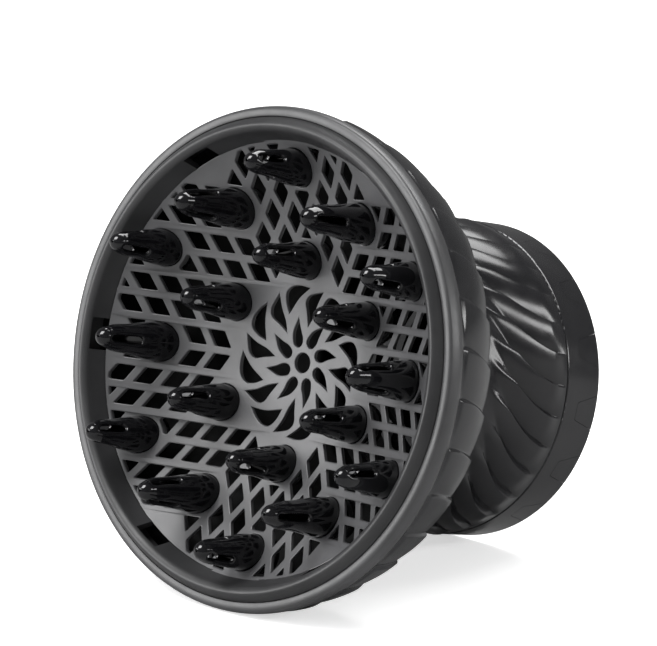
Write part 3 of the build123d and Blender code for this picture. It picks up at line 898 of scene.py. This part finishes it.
def one_sided(tree, surface):
    """Shows the surface on a face's front and nothing on its back."""
    side_of = tree.nodes.new("ShaderNodeNewGeometry")
    clear = tree.nodes.new("ShaderNodeBsdfTransparent")
    mix = tree.nodes.new("ShaderNodeMixShader")
    tree.links.new(side_of.outputs["Backfacing"], mix.inputs["Fac"])
    tree.links.new(surface, mix.inputs[1])
    tree.links.new(clear.outputs["BSDF"], mix.inputs[2])
    tree.links.new(mix.outputs["Shader"], tree.nodes["Material Output"].inputs["Surface"])


def floor_material():
    """Pale and matt. The camera sees it brighter than the object does, and gloss sees it darker."""
    material, tree, shader = new_material("floor")
    shader.inputs["Base Color"].default_value = (0.86, 0.86, 0.86, 1)
    shader.inputs["Roughness"].default_value = 0.6
    shader.inputs["Specular IOR Level"].default_value = 0.2
    path = tree.nodes.new("ShaderNodeLightPath")
    glow = tree.nodes.new("ShaderNodeEmission")
    glow.inputs["Color"].default_value = (floor_glow, floor_glow, floor_glow, 1)
    tree.links.new(path.outputs["Is Camera Ray"], glow.inputs["Strength"])
    lit = tree.nodes.new("ShaderNodeAddShader")
    tree.links.new(shader.outputs["BSDF"], lit.inputs[0])
    tree.links.new(glow.outputs["Emission"], lit.inputs[1])
    dim = tree.nodes.new("ShaderNodeBsdfDiffuse")
    dim.inputs["Color"].default_value = (floor_reflected, floor_reflected, floor_reflected, 1)
    reflected = tree.nodes.new("ShaderNodeMixShader")
    tree.links.new(path.outputs["Is Glossy Ray"], reflected.inputs["Fac"])
    tree.links.new(lit.outputs["Shader"], reflected.inputs[1])
    tree.links.new(dim.outputs["BSDF"], reflected.inputs[2])
    one_sided(tree, reflected.outputs["Shader"])
    return material


def make_floor():
    """A pale floor under the object, seen only from above."""
    up = floor_normal()
    side = up.cross(Vector((0, 0, 1))).normalized()
    ahead = side.cross(up)
    touch = -rest_side * ring_radius * MM - up * floor_below * MM
    corners = [
        touch + side * a * floor_reach + ahead * b * floor_reach
        for a, b in ((-1, -1), (1, -1), (1, 1), (-1, 1))
    ]
    mesh = bpy.data.meshes.new("floor")
    mesh.from_pydata([tuple(c) for c in corners], [], [(0, 1, 2, 3)])
    if mesh.polygons[0].normal.dot(up) < 0:
        mesh.flip_normals()
    mesh.materials.append(floor_material())
    floor = bpy.data.objects.new("floor", mesh)
    bpy.context.scene.collection.objects.link(floor)


def make_painted_shade_card():
    """A black card under the nozzle socket, seen only through it from the front: painted shade for the dark
    inside of the shell.
    """
    points = [(*p, shade_card_z) for p in circle(0, 0, shade_card_r, 64)]
    mesh = make_mesh("painted_shade_card", points, [tuple(range(len(points)))])
    if mesh.polygons[0].normal.z < 0:
        mesh.flip_normals()
    material, tree, shader = new_material("painted_shade_card")
    shader.inputs["Base Color"].default_value = (0.002, 0.002, 0.002, 1)
    shader.inputs["Roughness"].default_value = 0.9
    shader.inputs["Specular IOR Level"].default_value = 0.0
    one_sided(tree, shader.outputs["BSDF"])
    mesh.materials.append(material)
    card = bpy.data.objects.new("painted_shade_card", mesh)
    # only the camera sees it, so it paints shade on what shows through the lattice and shades nothing
    card.visible_shadow = False
    card.visible_diffuse = False
    card.visible_glossy = False
    bpy.context.scene.collection.objects.link(card)


def make_world(glossy, diffuse):
    """A white surround for the camera, dimmer for what the gloss reflects."""
    world = bpy.data.worlds.new("studio")
    world.use_nodes = True
    tree = world.node_tree
    background = tree.nodes["Background"]
    background.inputs["Color"].default_value = (1, 1, 1, 1)
    path = tree.nodes.new("ShaderNodeLightPath")
    shares = tree.nodes.new("ShaderNodeMath")
    shares.operation = "MULTIPLY_ADD"
    tree.links.new(path.outputs["Is Glossy Ray"], shares.inputs[0])
    shares.inputs[1].default_value = glossy - diffuse
    shares.inputs[2].default_value = diffuse
    seen = tree.nodes.new("ShaderNodeMix")
    seen.data_type = "FLOAT"
    tree.links.new(path.outputs["Is Camera Ray"], seen.inputs["Factor"])
    tree.links.new(shares.outputs["Value"], seen.inputs["A"])
    seen.inputs["B"].default_value = 1.0
    tree.links.new(seen.outputs["Result"], background.inputs["Strength"])
    bpy.context.scene.world = world


def add_softbox(name, right, up, back, distance, width, height, watts):
    """A softbox aimed at the object, placed by its direction in the camera's axes."""
    direction = camera_right * right + camera_up * up + camera_back * back
    data = bpy.data.lights.new(name, "AREA")
    data.shape = "RECTANGLE"
    data.size, data.size_y = width, height
    data.energy = watts
    lamp = bpy.data.objects.new(name, data)
    lamp.location = centre + direction.normalized() * distance
    lamp.rotation_mode = "QUATERNION"
    lamp.rotation_quaternion = direction.to_track_quat("Z", "Y")
    lamp.visible_camera = False
    bpy.context.scene.collection.objects.link(lamp)


def make_lights():
    """Soft studio light: a key at upper left, a top light, a strip at the right, a fill at the left."""
    add_softbox("key", -0.6, 0.95, 0.6, 1.0, 0.5, 0.5, 10.0)
    add_softbox("top", 0.35, 1.0, -0.15, 0.9, 0.9, 0.35, 8.0)
    add_softbox("strip", 1.0, 0.25, 0.35, 1.0, 0.16, 0.9, 4.0)
    add_softbox("left", -1.0, 0.2, 0.25, 1.0, 0.6, 0.8, 10.0)


materials = make_materials()
build_object()
make_camera()
make_floor()
make_painted_shade_card()
make_world(glossy=0.16, diffuse=0.5)
make_lights()
bpy.context.scene.view_settings.view_transform = "Standard"
